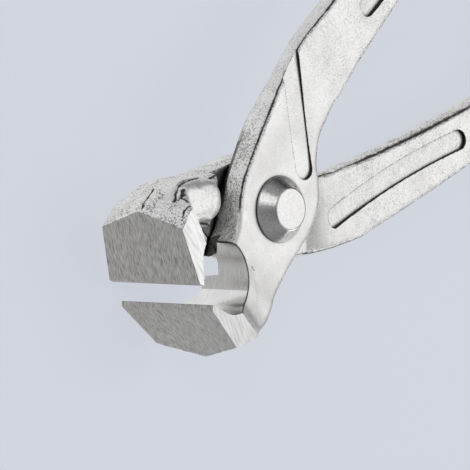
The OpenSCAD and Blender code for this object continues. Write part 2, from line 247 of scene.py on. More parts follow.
forged = {
    "light": (0.86, 0.855, 0.84),
    "dark": (0.75, 0.745, 0.73),
    # roughLight and roughDark are the rough skin's speckle: forged grain, with painted glints in its light
    # end
    "roughLight": (1.0, 0.995, 0.98),
    "roughDark": (0.27, 0.267, 0.26),
    "lineAndShadeColour": (0.07, 0.069, 0.066),
    "metallic": 0.92,
    "plainRoughness": (0.34, 0.50),
    "roughRoughness": (0.36, 0.60),
    "blotches": 160,
    "blotchRange": (0.35, 0.62),
    "freckleTone": 0.80,
    "freckleRange": (0.33, 0.47),
    "freckleShare": 0.7,
    "pebbles": 3400,
    "clumps": (420, 0.28),  # scale of the clumps among the pebbles and how much they count
    "patches": (260, 0.2),  # the same for the wider patches
    "sandRange": (0.51, 0.64),
    "lumps": 900,
    "lineGain": 2.2,
    "lineTear": (-1.6, 0.5),  # how far the lumps break up a dark line
    "fineGrain": 6400,
    "pebbleHeight": 0.00018,
    "lumpHeight": 0.00040,
    "fineHeight": 0.000018,
}

# what all streaked finishes share: where the streaks change tone, and the faint clouds over them
streaks = {
    "range": (0.37, 0.46, 0.62),
    "clouds": 300,
    "cloudTone": 0.9,
    "cloudRange": (0.3, 0.7),
    "cloudShare": 0.6,
    "metallic": 0.95,
}

# the front faces' ground steel, coloured darker than the jaw ends: brushed streaks and painted shade
ground = {
    "light": (0.55, 0.542, 0.53),
    "dark": (0.25, 0.246, 0.24),
    "roughness": (0.30, 0.46),
    "streakHeight": 0.000012,
    "stretch": (1600, 620, 6400),
    "turn": (0.1, 0, 0),
}

# the jaw ends' ground steel, coloured lighter: brushed streaks and painted light
groundEnd = {
    "light": (0.84, 0.84, 0.83),
    "dark": (0.60, 0.60, 0.59),
    "roughness": (0.28, 0.42),
    "streakHeight": 0.00001,
    "stretch": (2600, 300, 900),
}

bored = {
    "light": (0.62, 0.615, 0.605),
    "dark": (0.54, 0.535, 0.53),
    "roughness": (0.20, 0.30),
    "streakHeight": 0.000004,
    "stretch": (500, 500, 2600),
}

# the bevel's smooth ground steel, painted near-white: a painted highlight
bevelled = {
    "light": (1.0, 1.0, 0.995),
    "dark": (0.93, 0.93, 0.92),
    "roughness": (0.16, 0.26),
    "streakHeight": 0.000003,
    "stretch": (700, 700, 2600),
}

turned = {
    "light": (0.70, 0.695, 0.685),
    "dark": (0.62, 0.615, 0.605),
    # the cone is coloured darker than the flat top: painted shade on the cone
    "shadedConeLight": (0.66, 0.655, 0.645),
    "shadedConeDark": (0.50, 0.495, 0.485),
    "metallic": 0.95,
    "roughness": (0.20, 0.28),
    "clouds": 2600,
    "cloudRange": (0.32, 0.66),
    "flatRange": (0.80, 0.95),  # how level the surface is where the cone ends and the flat top starts
    "fineGrain": 5200,
    "grainHeight": 0.000012,
}

dipped = {
    "colour": (0.36, 0.012, 0.012),
    "shade": (0.27, 0.008, 0.009),
    "roughness": (0.34, 0.46),
    "clouds": 45,
    "cloudRange": (0.35, 0.65),
    "orangePeel": 380,
    "peelHeight": 0.00012,
    "ior": 1.5,
}


# darkens a colour by ambient occlusion: painted shade in corners, creases and gaps
def shaded(tree, colour, reaches):
    for reach, darkest, closed, opened in reaches:
        settings = {"Distance": reach}
        openness = addNode(tree, "ShaderNodeAmbientOcclusion", settings, samples=paintedShadeSamples)
        tone = graded(tree, openness.outputs["AO"], [(closed, grey(darkest)), (opened, grey(1))])
        colour = blended(tree, "MULTIPLY", 1.0, colour, tone)
    return colour


def attributeValue(tree, name):
    return addNode(tree, "ShaderNodeAttribute", attribute_name=name).outputs["Fac"]


def weighted(tree, place, scale, share, middle=0):
    texture = grain(tree, place, scale, 2)
    if middle:
        texture = formula(tree, "SUBTRACT", texture, middle)
    return formula(tree, "MULTIPLY", texture, share)


def forgedZinc(settings):
    material, tree, places = newMaterial("forgedZinc")
    place = places["Object"]
    pebbles = grain(tree, place, settings["pebbles"], 4)
    fine = grain(tree, place, settings["fineGrain"], 2)
    rough = attributeValue(tree, "roughness")
    blotches = grain(tree, place, settings["blotches"], 4)
    plain = graded(tree, blotches, between(settings["blotchRange"], settings["dark"], settings["light"]))
    freckle = grey(settings["freckleTone"])
    freckles = graded(tree, pebbles, between(settings["freckleRange"], freckle, grey(1)))
    plain = blended(tree, "MULTIPLY", settings["freckleShare"], plain, freckles)
    cells = formula(tree, "ADD", pebbles, weighted(tree, place, *settings["clumps"]))
    cells = formula(tree, "ADD", cells, weighted(tree, place, *settings["patches"], 0.5))
    grainAndGlintTones = between(settings["sandRange"], settings["roughDark"], settings["roughLight"])
    colour = blended(tree, "MIX", rough, plain, graded(tree, cells, grainAndGlintTones))
    # dark lines and painted shade, broken up by the lumps, mix the colour toward the line colour
    tear = ranged(tree, grain(tree, place, settings["lumps"]), *settings["lineTear"])
    line = {0: attributeValue(tree, "darkLineAndShade"), 1: settings["lineGain"], 2: tear}
    line = wired(tree, "ShaderNodeMath", line, operation="MULTIPLY_ADD", use_clamp=True)
    colour = blended(tree, "MIX", line, colour, settings["lineAndShadeColour"])
    low = ranged(tree, fine, *settings["plainRoughness"])
    high = ranged(tree, fine, *settings["roughRoughness"])
    relief = bumped(tree, fine, settings["fineHeight"])
    relief = bumped(tree, pebbles, settings["pebbleHeight"], relief, rough)
    lumps = grain(tree, place, settings["lumps"], 2)
    setSurface(tree, {
        "Base Color": shaded(tree, colour, paintedCornerShade),
        "Metallic": settings["metallic"],
        "Roughness": wired(tree, "ShaderNodeMix", {"Factor": rough, "A": low, "B": high}),
        "Normal": bumped(tree, lumps, settings["lumpHeight"], relief, rough),
    })
    return material


def streaked(name, settings):
    material, tree, places = newMaterial(name)
    turn = settings.get("turn", (0, 0, 0))
    lines = grain(tree, places["Object"], 1.0, 4, settings["stretch"], turn)
    dark, light = settings["dark"], settings["light"]
    middle = tuple((a + b) / 2 for a, b in zip(dark, light))
    colour = graded(tree, lines, list(zip(streaks["range"], (dark, middle, light))))
    clouds = grain(tree, places["Object"], streaks["clouds"])
    tone = graded(tree, clouds, between(streaks["cloudRange"], grey(streaks["cloudTone"]), grey(1)))
    setSurface(tree, {
        "Base Color": blended(tree, "MULTIPLY", streaks["cloudShare"], colour, tone),
        "Metallic": streaks["metallic"],
        "Roughness": ranged(tree, lines, *settings["roughness"]),
        "Normal": bumped(tree, lines, settings["streakHeight"]),
    })
    return material


def turnedSteel(settings):
    material, tree, places = newMaterial("turnedSteel")
    clouds = grain(tree, places["Object"], settings["clouds"])
    facing = addNode(tree, "ShaderNodeSeparateXYZ", {0: places["Normal"]})
    level = formula(tree, "ABSOLUTE", facing.outputs["Z"])
    span = settings["cloudRange"]
    cone = graded(tree, clouds, between(span, settings["shadedConeDark"], settings["shadedConeLight"]))
    flat = graded(tree, clouds, between(span, settings["dark"], settings["light"]))
    share = graded(tree, level, between(settings["flatRange"], grey(0), grey(1)))
    fine = grain(tree, places["Object"], settings["fineGrain"])
    setSurface(tree, {
        "Base Color": shaded(tree, blended(tree, "MIX", share, cone, flat), rivetFootPaintedShade),
        "Metallic": settings["metallic"],
        "Roughness": ranged(tree, clouds, *settings["roughness"]),
        "Normal": bumped(tree, fine, settings["grainHeight"]),
    })
    return material


def dippedPlastic(settings):
    material, tree, places = newMaterial("dippedPlastic")
    clouds = grain(tree, places["Object"], settings["clouds"])
    peel = grain(tree, places["Object"], settings["orangePeel"])
    tones = between(settings["cloudRange"], settings["shade"], settings["colour"])
    setSurface(tree, {
        "Base Color": graded(tree, clouds, tones),
        "Roughness": ranged(tree, peel, *settings["roughness"]),
        "IOR": settings["ior"],
        "Normal": bumped(tree, peel, settings["peelHeight"]),
    })
    return material


forgedMaterial = forgedZinc(forged)
faceMaterial = streaked("groundFace", ground)
endMaterial = streaked("groundEnd", groundEnd)
boredMaterial = streaked("boredSteel", bored)
bevelMaterial = streaked("bevelSteel", bevelled)
rivetMaterial = turnedSteel(turned)
gripMaterial = dippedPlastic(dipped)
print("materials ready")

lever = {
    "edgeReach": 28.3,
    "jawWidth": 24.0,
    "jawHeight": 14.3,
    "faceLean": 10.5,
    "stripHeight": 0.76,
    "stripDepth": 0.68,
    "mouthRadius": 7.0,
    "bevelAngle": 58.6,
    "closedGap": 0.04,
    "endLean": 1.9,
    "lapGap": 0.1,
    "pocketGap": 0.35,
    "swing": 33,  # degrees of room that the pocket gives the other plate
    "boreRadius": 4.05,
    "restAngle": 4.33,
    "handleReach": 189.0,
    "gripLength": 104.0,
    "endHalfThickness": 3.0,
    "endHalfWidth": 4.0,
    "taper": 4,  # how early the handle narrows: a power of the way along it
    "innerSwell": 1.2,  # how much fuller the bare handle's inner side is, half way to the grip
    "swellEnd": 0.36,
    "swellPower": 0.7,
    "liftBow": 7.0,
    "bowOffset": 21.5,
    "sweepOffset": 24.0,
    "endOffset": 17.0,
    "spineStep": 0.01,
    "panelDepth": 0.7,
}

# how the forging's skin is made before anything is ground or drilled
forging = {
    "voxel": 0.26,
    "smoothing": 4,
    "corner": 0.9,
    "handleCorner": 0.45,
    "handleBulge": 0.9,
    "innerBulge": 0.6,  # the inner side bulges this much as far as the outer one
    "bulgedSlope": 0.3,  # how much of its slope a bulged side keeps
    "faceInset": 0.05,
    "sidePoints": 5,
    "cornerPoints": 3,
    "facePoints": 6,
    "ringsPerRow": 6,
    "handleRings": 60,
    "bulgeRings": 8,
    "tailRings": 16,
    "underGrip": 0.06,  # how far the finely made skin goes on under the grip
    "overlap": 0.01,
    "waves": ((0.5, 0.6), (1.2, 0.4)),  # scale and share of each
    "waviness": 0.045,
    "levelFrom": 0.9,  # how level skin has to be to count as level
    "levelUntil": 12,  # and how far toward the jaw
    "levelWaviness": 0.5,  # what is left of it on level skin
    "plateFrom": 0.5,
    "plateWaviness": 0.2,
    "roofRelief": 0.22,
    "roofRange": (8, 13),  # where the plate's waviness turns into the roof's relief
}

# Rows across the lever from jaw to handle: inner x, y and outer x, y as shares of edge reach and
# jaw height, plate side and pocket side heights in millimetres, then the slopes of the inner side
# toward the plate and the pocket, and the same two of the outer side.
leverRows = [
    (1.15, -0.07, 1.150, 0.930, 13.6, 13.6, 0, 0, 0.33, 0.33),
    (1.03, -0.07, 1.030, 0.970, 13.6, 13.6, 0, 0, 0.33, 0.33),
    (0.92, -0.07, 0.933, 1.000, 13.4, 13.4, 0, 0, 0.27, 0.27),
    (0.84, -0.07, 0.815, 1.050, 11.9, 11.25, 0, 0, 0.22, 0.2),
    (0.76, -0.07, 0.690, 1.065, 9.3, 6.5, 0, 0, 0.18, 0.2),
    (0.67, -0.08, 0.583, 1.065, 8.3, 4.2, 0, 0, 0.14, 0.22),
    (0.58, -0.12, 0.477, 1.005, 7.8, 3.6, 0.05, 0.1, 0.12, 0.25),
    (0.505, -0.18, 0.371, 0.920, 7.3, 3.0, 0.1, 0.2, 0.15, 0.2),
    (0.435, -0.24, 0.258, 0.850, 7.0, 2.2, 0.12, 0.3, 0.12, 0.2),
    (0.36, -0.34, 0.134, 0.778, 7.0, 1.5, 0.12, 0.4, 0.12, 0.12),
    (0.29, -0.49, 0.018, 0.732, 7.0, 1.0, 0.12, 0.5, 0.12, 0.12),
    (0.215, -0.63, -0.113, 0.676, 7.0, 1.0, 0.12, 0.6, 0.12, 0.12),
    (0.13, -0.75, -0.230, 0.594, 7.0, 1.0, 0.12, 0.65, 0.12, 0.12),
    (0.03, -0.85, -0.343, 0.448, 7.0, 1.0, 0.12, 0.65, 0.12, 0.12),
    (-0.088, -0.955, -0.428, 0.224, 6.95, 1.0, 0.12, 0.6, 0.12, 0.12),
    (-0.212, -1.04, -0.477, 0.059, 6.67, 0.75, 0.12, 0.45, 0.12, 0.12),
    (-0.353, -1.135, -0.530, -0.056, 6.45, -0.5, 0.12, 0.2, 0.12, 0.12),
    (-0.505, -1.248, -0.625, -0.217, 6.28, -1.6, 0.11, 0.1, 0.11, 0.11),
    (-0.67, -1.362, -0.742, -0.315, 6.23, -2.2, 0.1, 0.1, 0.1, 0.1),
    (-0.85, -1.46, -0.887, -0.413, 6.23, -2.3, 0.1, 0.1, 0.1, 0.1),
]
lapRows = (6, 18)  # first and last row of the lap plate

nose = {
    "middle": (14.0, 9.7),  # narrow end, from the rivet axis
    "length": 4.4,
    "angle": 25,
    "radius": 4.3,
    "height": 5.8,
    "inside": 3.5,  # how far it reaches into the jaw
    "rounding": 2.7,
    "foot": 1.6,
    "start": 11.7,
    "fall": 2.2,
}

roof = {
    "low": 9.5,
    "span": (10.5, 27),
    "wander": (1.3, 0.28),  # scale and size of a crack's wandering
    "wanderSeeds": (3, 5, 9),
    "wear": (0.8, 0.8, 0.5),  # scale, middle and range of a crack's width
    "crackSides": (0.3, 1.5),  # where a crack's side starts and ends, as shares of half its width
    "brightCore": 0.4,
}

# Cracks and laps in the scale of the jaw's roof: points along the lever and across it, in
# millimetres from the rivet's middle, then half their width and how deep they are.
folds = [
    ([(25.6, -0.1), (23.0, 0.6), (21.3, 1.2), (20.0, 1.3)], 0.30, 0.16),
    (
        [(22.1, -5.4), (20.5, -4.5), (19.2, -4.3), (17.6, -4.2), (15.6, -4.0), (13.2, -3.5), (11.0, -2.9)],
        0.34, 0.3,
    ),
    ([(21.3, -5.7), (19.9, -5.4), (18.7, -5.1)], 0.28, 0.2),
    ([(20.5, -5.5), (20.4, -6.7), (21.0, -8.0), (21.5, -9.1)], 0.32, 0.25),
    ([(24.9, -9.2), (23.6, -8.8), (22.4, -8.9), (21.7, -9.4)], 0.26, 0.15),
]

# Places on the roof painted bright as highlights, where the skin is also smoother: along, across and
# radius.
highlightSpots = [(24.8, 10.2, 3.0), (23.2, 6.0, 1.4), (17.4, -0.4, 2.6), (22.6, 2.0, 0.9), (21.7, -7.3, 1.2)]


def ramp(value, low, high):
    return min(max((value - low) / (high - low), 0), 1)


def sizedRow(row):
    reach, height = lever["edgeReach"], lever["jawHeight"]
    return [row[0] * reach, row[1] * height, row[2] * reach, row[3] * height, *row[4:]]


rows = [sizedRow(row) for row in leverRows]
lastRow = rows[-1]
rootX = (lastRow[0] + lastRow[2]) / 2
rootY = (lastRow[1] + lastRow[3]) / 2
rootHalfWidth = (lastRow[3] - lastRow[1]) / 2
rootHalfThickness = (lastRow[4] + lastRow[5]) / 2
rootLift = (lastRow[4] - lastRow[5]) / 2
handleSpan = lever["handleReach"] + rootX


def throughRows(position):
    index = min(int(position), len(rows) - 2)
    t = position - index
    a, b, c, d = (rows[min(max(index + k, 0), len(rows) - 1)] for k in (-1, 0, 1, 2))
    return [
        q + ((r - p) * t + (2 * p - 5 * q + 4 * r - s) * t * t + (3 * q - p - 3 * r + s) * t ** 3) / 2
        for p, q, r, s in zip(a, b, c, d)
    ]


def spineY(u):
    return (
        (1 - u) ** 3 * rootY
        - 3 * u * (1 - u) ** 2 * lever["bowOffset"]
        - 3 * u * u * (1 - u) * lever["sweepOffset"]
        - u ** 3 * lever["endOffset"]
    )


def spinePoint(u):
    return Vector((rootX - handleSpan * u, spineY(u), lift(u)))


def spineTurn(u):
    step = lever["spineStep"]
    return math.atan2(spineY(u - step) - spineY(u + step), 2 * step * handleSpan)


def tapered(u, end, root):
    return lever[end] + (root - lever[end]) * (1 - u) ** lever["taper"]


def halfWidth(u):
    return tapered(u, "endHalfWidth", rootHalfWidth)


def halfThickness(u):
    return tapered(u, "endHalfThickness", rootHalfThickness)


def lift(u):
    return (1 - u) ** 3 * rootLift + 3 * u * (1 - u) ** 2 * lever["liftBow"]


def handleRow(u):
    turn = spineTurn(u) * min(1, u / lever["spineStep"])
    across = Vector((-math.sin(turn), math.cos(turn)))
    side = across * halfWidth(u)
    swell = math.sin(math.pi * min(1, u / lever["swellEnd"])) ** lever["swellPower"]
    inner = side + across * lever["innerSwell"] * swell
    x, y = rootX - handleSpan * u, spineY(u)
    return [
        x - inner.x, y - inner.y, x + side.x, y + side.y,
        lift(u) + halfThickness(u), halfThickness(u) - lift(u), *lastRow[6:],
    ]


def crossSection(row, bulge, corner):
    inner, outer = Vector(row[0:2]), Vector(row[2:4])
    top, bottom = row[4], -row[5]
    middle, half = (top + bottom) / 2, (top - bottom) / 2
    across = (outer - inner).normalized()
    width = (outer - inner).length
    points = []

    def sidePoint(isOuter, z, extra):
        slope = row[(8 if isOuter else 6) + (0 if z > middle else 1)]
        sideBulge = bulge if isOuter else bulge * forging["innerBulge"]
        slopeShare = forging["bulgedSlope"] if bulge else 1
        inset = slope * abs(z - middle) * slopeShare + sideBulge * ((z - middle) / half) ** 2 + extra
        spot = outer - across * inset if isOuter else inner + across * inset
        points.append((spot.x, spot.y, z))

    def run(isOuter, start, end):
        last = forging["sidePoints"] - 1
        for k in range(last + 1):
            sidePoint(isOuter, start + (end - start) * k / last, 0)

    def cornerRun(isOuter, face, sign, leaving):
        count = forging["cornerPoints"] + 1
        for k in range(1, count):
            turn = math.pi / 2 * (k if leaving else count - k) / count
            z = face - sign * corner * (1 - math.sin(turn))
            sidePoint(isOuter, z, corner * (1 - math.cos(turn)))

    def faceRun(z, fromOuter):
        inset = corner + forging["faceInset"] * width
        last = forging["facePoints"] - 1
        for k in range(last + 1):
            share = k / last
            s = (1 - share if fromOuter else share) * (width - 2 * inset) + inset
            spot = inner + across * s
            points.append((spot.x, spot.y, z))

    run(True, middle, top - corner)
    cornerRun(True, top, 1, True)
    faceRun(top, True)
    cornerRun(False, top, 1, False)
    run(False, top - corner, middle)
    run(False, middle, bottom + corner)
    cornerRun(False, bottom, -1, True)
    faceRun(bottom, False)
    cornerRun(True, bottom, -1, False)
    run(True, bottom + corner, middle)
    return points


def skinned(name, rings):
    mesh = bpy.data.meshes.new(name)
    count = len(rings[0])
    faces = [tuple(reversed(range(count)))]
    for i in range(len(rings) - 1):
        for k in range(count):
            a, b = i * count + k, i * count + (k + 1) % count
            faces.append((a, b, b + count, a + count))
    last = (len(rings) - 1) * count
    faces.append(tuple(last + k for k in range(count)))
    mesh.from_pydata([tuple(c * mm for c in point) for ring in rings for point in ring], [], faces)
    return meshObject(name, mesh)


def meshObject(name, mesh):
    work = bmesh.new()
    work.from_mesh(mesh)
    bmesh.ops.remove_doubles(work, verts=work.verts, dist=0.0001 * mm)
    bmesh.ops.recalc_face_normals(work, faces=work.faces)
    work.to_mesh(mesh)
    work.free()
    piece = bpy.data.objects.new(name, mesh)
    scene.collection.objects.link(piece)
    return piece


def prism(name, outline, low, high):
    return skinned(name, [[(x, y, z) for x, y in outline] for z in (low, high)])


def wedge(name, outline, low, high):
    return skinned(name, [[(x, y, z) for y, z in outline] for x in (low, high)])


def circlePoints(radius, count, centre=0):
    turns = [2 * math.pi * k / count for k in range(count)]
    return [(centre + radius * math.cos(turn), radius * math.sin(turn)) for turn in turns]


def applied(piece):
    graph = bpy.context.evaluated_depsgraph_get()
    mesh = bpy.data.meshes.new_from_object(piece.evaluated_get(graph), depsgraph=graph)
    piece.modifiers.clear()
    old = piece.data
    piece.data = mesh
    bpy.data.meshes.remove(old)
    return piece


def joined(pieces, name):
    work = bmesh.new()
    for piece in pieces:
        work.from_mesh(piece.data)
        bpy.data.objects.remove(piece)
    mesh = bpy.data.meshes.new(name)
    work.to_mesh(mesh)
    work.free()
    piece = bpy.data.objects.new(name, mesh)
    scene.collection.objects.link(piece)
    return piece


def cut(piece, cutter):
    step = piece.modifiers.new("cut", "BOOLEAN")
    step.operation = "DIFFERENCE"
    step.solver = "MANIFOLD"
    step.material_mode = "INDEX"
    step.object = cutter
    applied(piece)
    bpy.data.objects.remove(cutter)


def fitted(piece, voxel, smoothing):
    remesh = piece.modifiers.new("voxels", "REMESH")
    remesh.mode = "VOXEL"
    remesh.voxel_size = voxel * mm
    if smoothing:
        smooth = piece.modifiers.new("smooth", "SMOOTH")
        smooth.factor = 0.5
        smooth.iterations = smoothing
    return applied(piece)


def stadium(radius):
    turn, sides = math.radians(nose["angle"]), 48
    along = Vector((math.cos(turn), math.sin(turn))) * nose["length"]
    points = []
    for k in range(sides):
        angle = turn + math.pi / 2 + 2 * math.pi * k / sides
        atFarEnd = math.cos(angle - turn) > 0.001
        centre = Vector(nose["middle"]) + (along if atFarEnd else Vector((0, 0)))
        points.append((centre.x + radius * math.cos(angle), centre.y + radius * math.sin(angle)))
    return points


def noseBoss():
    inner, steps = nose["radius"] - nose["rounding"], 6
    rings = [[(*p, nose["inside"]) for p in stadium(nose["radius"])]]
    for k in range(steps + 1):
        turn = math.pi / 2 * k / steps
        depth = nose["height"] - nose["rounding"] * (1 - math.sin(turn))
        rings.append([(*p, -depth) for p in stadium(inner + nose["rounding"] * math.cos(turn))])
    return skinned("noseBoss", rings)


def noseEndCutter():
    start, fall, foot = nose["start"], nose["fall"], nose["foot"]
    steps = 8
    profile = [(0.2, -foot)]
    for k in range(steps + 1):
        turn = math.pi / 2 * k / steps
        profile.append((start + fall * (1 - math.cos(turn)), -foot - fall * math.sin(turn)))
    profile.append((start + fall, -20))
    return skinned("noseEnd", [[(x, y, z) for x, y in circlePoints(radius, 120)] for radius, z in profile])


def foldAt(spot):
    scale, size = roof["wander"]
    drift = [noise.noise(spot * scale + Vector((k, 0, 0))) * size for k in roof["wanderSeeds"]]
    spot = spot + Vector(drift)
    scale, middle, spread = roof["wear"]
    worn = middle + noise.noise(spot * scale) * spread
    start, end = roof["crackSides"]
    deepest, darkest = 0, 0
    for points, half, depth in folds:
        for (x, z), (nextX, nextZ) in zip(points, points[1:]):
            along = Vector((nextX - x, nextZ - z))
            offset = Vector((spot.x - x, spot.z - z))
            share = min(max(offset.dot(along) / along.length_squared, 0), 1)
            closeness = 1 - ramp((offset - along * share).length, half * start * worn, half * end * worn)
            deepest, darkest = max(deepest, closeness * depth), max(darkest, closeness)
    return deepest, darkest


def highlightAt(spot):
    return max(
        1 - ramp(math.hypot(spot.x - x, spot.z - z), radius * roof["brightCore"], radius)
        for x, z, radius in highlightSpots
    )


def onRoof(spot):
    return spot.y > roof["low"] and roof["span"][0] < spot.x < roof["span"][1]


def wavySkin(piece):
    normals = [vertex.normal.copy() for vertex in piece.data.vertices]
    for vertex, normal in zip(piece.data.vertices, normals):
        spot = vertex.co / mm
        wave = sum(noise.noise(spot * scale) * share for scale, share in forging["waves"])
        relief = ramp(spot.x, *forging["roofRange"])
        depth = forging["waviness"] + (forging["roofRelief"] - forging["waviness"]) * relief
        height = wave * depth
        if abs(normal.z) >= forging["levelFrom"] and spot.x <= forging["levelUntil"]:
            height *= forging["levelWaviness"]
        if spot.z > 0 and normal.z > forging["plateFrom"]:
            height *= forging["plateWaviness"]
        if onRoof(spot):
            height -= foldAt(spot)[0]
        vertex.co += normal * height * mm


def forgedBlank():
    perRow, count = forging["ringsPerRow"], forging["handleRings"]
    visible = 1 - lever["gripLength"] / handleSpan + forging["underGrip"]
    bulge, corner = forging["handleBulge"], forging["handleCorner"]
    places = [k / perRow for k in range(perRow * (len(rows) - 1))]
    rings = [crossSection(throughRows(place), 0, forging["corner"]) for place in places]
    for k in range(count + 1):
        growing = min(1, k / forging["bulgeRings"])
        rings.append(crossSection(handleRow(visible * k / count), bulge * growing, corner))
    piece = joined([skinned("blank", rings), noseBoss()], "blank")
    fitted(piece, forging["voxel"], 0)
    cut(piece, pocketCutter())
    cut(piece, noseEndCutter())
    fitted(piece, forging["voxel"], forging["smoothing"])
    wavySkin(piece)
    start, span = visible - forging["overlap"], 1 + forging["overlap"] - visible
    count = forging["tailRings"]
    tail = [crossSection(handleRow(start + span * k / count), bulge, corner) for k in range(count + 1)]
    return joined([piece, skinned("tail", tail)], "blank")


def mouthMiddle():
    return lever["edgeReach"] - lever["mouthRadius"] / math.sin(math.radians(lever["bevelAngle"]))


def mouthCutters():
    reach, centre, far, below = lever["edgeReach"], mouthMiddle(), lever["jawWidth"], -8
    radius, turn = lever["mouthRadius"], math.radians(lever["bevelAngle"])
    bevel = [
        (centre, below), (centre, radius / 2),
        (centre + radius * math.sin(turn), radius * math.cos(turn)), (reach, 0), (reach, below),
    ]
    return [prism("mouth", circlePoints(radius, 160, centre), -far, far), prism("bevel", bevel, -far, far)]


def frontCutter():
    reach, gap = lever["edgeReach"], lever["closedGap"]
    stripDepth, stripHeight = lever["stripDepth"], lever["stripHeight"]
    behind, ahead, below, high, far = 15, 50, -14, 30, 30
    lean = math.tan(math.radians(lever["faceLean"]))
    outline = [
        (behind, gap), (reach + stripDepth * gap / stripHeight, gap),
        (reach + stripDepth, stripHeight), (reach + stripDepth - high * lean, stripHeight + high),
        (ahead, stripHeight + high), (ahead, below), (behind, below),
    ]
    return prism("front", outline, -far, far)


def endCutter(sign):
    lean = lever["endLean"] / lever["jawHeight"]
    half, far, behind, ahead = lever["jawWidth"] / 2, 20, 16.6, 50
    outline = [(-far, half + lean * far), (far, half - lean * far), (far, half + far), (-far, half + far)]
    return wedge("jawEnd", [(y, sign * z) for y, z in outline], behind, ahead)


def plateEdge():
    first, last = lapRows
    edge = []
    for row in reversed(rows[first:last + 1]):
        angle = math.degrees(math.atan2(-row[3], row[2]))
        edge.append((angle - 360 if angle > 0 else angle, math.hypot(row[2], row[3])))
    for row in rows[first + 1:last]:
        edge.append((math.degrees(math.atan2(-row[1], row[0])), math.hypot(row[0], row[1])))
    return edge


def edgeRadius(edge, angle):
    if angle <= edge[0][0]:
        return edge[0][1]
    for (a, p), (b, q) in zip(edge, edge[1:]):
        if a <= angle <= b:
            return p + (q - p) * (angle - a) / (b - a)
    return edge[-1][1]


def pocketCutter():
    edge = plateEdge()
    outline = []
    step, besideJaw = 2, 0.15
    for k in range(360 // step):
        angle = edge[0][0] + step * k
        radius = max(edgeRadius(edge, angle + turn) for turn in range(0, lever["swing"], step))
        radius += lever["pocketGap"]
        across, up = math.cos(math.radians(angle)), math.sin(math.radians(angle))
        if across < besideJaw:
            radius = max(radius, 2 * nose["start"])
        outline.append((radius * across, radius * up))
    return prism("pocket", outline, -15, lever["lapGap"] / 2)


# Slanted cuts round the mouth's inner end. The first and last are outlines across the lever, then
# where they start and end along it. The middle one is seen from the side, and widens with depth.
def mouthWedges():
    tip = []
    for y, z in ((4.3, -0.1), (5.3, -9)):
        outline = [(17, -6), (17, y - 1.9), (14.6, y), (10, y + 3.7), (6, y + 3.7), (6, -6)]
        tip.append([(x, side, z) for x, side in outline])
    return [
        wedge("underNose", [(-6, -0.4), (-1.5, -0.4), (5.6, -4.9), (5.6, -9), (-6, -9)], 8, 15.2),
        skinned("mouthTip", tip),
        wedge("plateTip", [(-6, -1), (1.2, -1), (1.2, 0), (-2.6, 2.8), (-6, 5.3)], 12.4, 16),
    ]


def panelCutter(start, angle, length, width, startZ, endZ, sign, bend=0):
    turn, steps = math.radians(angle), 12
    along = Vector((math.cos(turn), math.sin(turn)))
    side = Vector((-along.y, along.x))
    outline = []
    for k in range(steps + 1):
        a = math.pi / 2 + math.pi * k / steps
        outline.append((width / 2 * math.cos(a), width / 2 * math.sin(a)))
    for k in range(1, steps):
        outline.append((length * k / steps, -width / 2))
    for k in range(steps + 1):
        a = -math.pi / 2 + math.pi * k / steps
        outline.append((length + width / 2 * math.cos(a), width / 2 * math.sin(a)))
    for k in range(steps - 1, 0, -1):
        outline.append((length * k / steps, width / 2))
    rings = []
    for top, spread in ((0, 0.97), (0.35, 1.0), (6, 1.3)):  # the wall spreads upward, most above the face
        ring = []
        for s, t in outline:
            share = s / length
            flat = Vector(start) + along * s + side * (t * spread + bend * 4 * share * (1 - share))
            z = startZ + (endZ - startZ) * share - lever["panelDepth"] + top
            ring.append((flat.x, flat.y, sign * z))
        rings.append(ring)
    return skinned("panel", rings)


def faceHeight(x, plateSide):
    u = max(0, (rootX - x) / handleSpan)
    return lift(u) + halfThickness(u) if plateSide else halfThickness(u) - lift(u)


# Each panel: where it starts, its angle, length and width, the face's height at both ends, the side
# of the lever that it is on, and how far it bends.
def panels():
    pocketSide = faceHeight(-20.8, False), faceHeight(-58.8, False)
    return [
        panelCutter((-10, -2), 61.2 - 180, 28, 4.6, 7.0, 6.2, 1),
        panelCutter((-42, -16), 185.4, 26, 4.1, faceHeight(-42, True), faceHeight(-68, True), 1),
        panelCutter((-20.8, -13.8), 186.1, 38, 4.1, *pocketSide, -1, -0.9),
    ]


def boreCutter():
    return prism("bore", circlePoints(lever["boreRadius"], 96), -9, 9)


forgedKind, faceKind, endKind, boredKind, bevelKind = range(5)
kindMaterials = (forgedMaterial, faceMaterial, endMaterial, boredMaterial, bevelMaterial)
wallPart, floorPart = 1, 2

groundRules = {
    "headStart": 12,  # ground surfaces lie further from the rivet than this
    "faceGap": 0.01,
    "gap": 0.02,  # how near its plane or bore a ground face has to lie
    "stripRoom": 0.1,
    "facing": 0.999,
    "endLevel": 0.98,
    "uprightLevel": 0.01,
    "boreFacing": 0.99,
    "brightMouth": 6.15,  # past this height the bored mouth takes the bevel's steel, painted near-white as a highlight
    "wallLevel": 0.9,  # a panel's face belongs to its wall if it is less level than this
    "sharpAngle": 32,
}

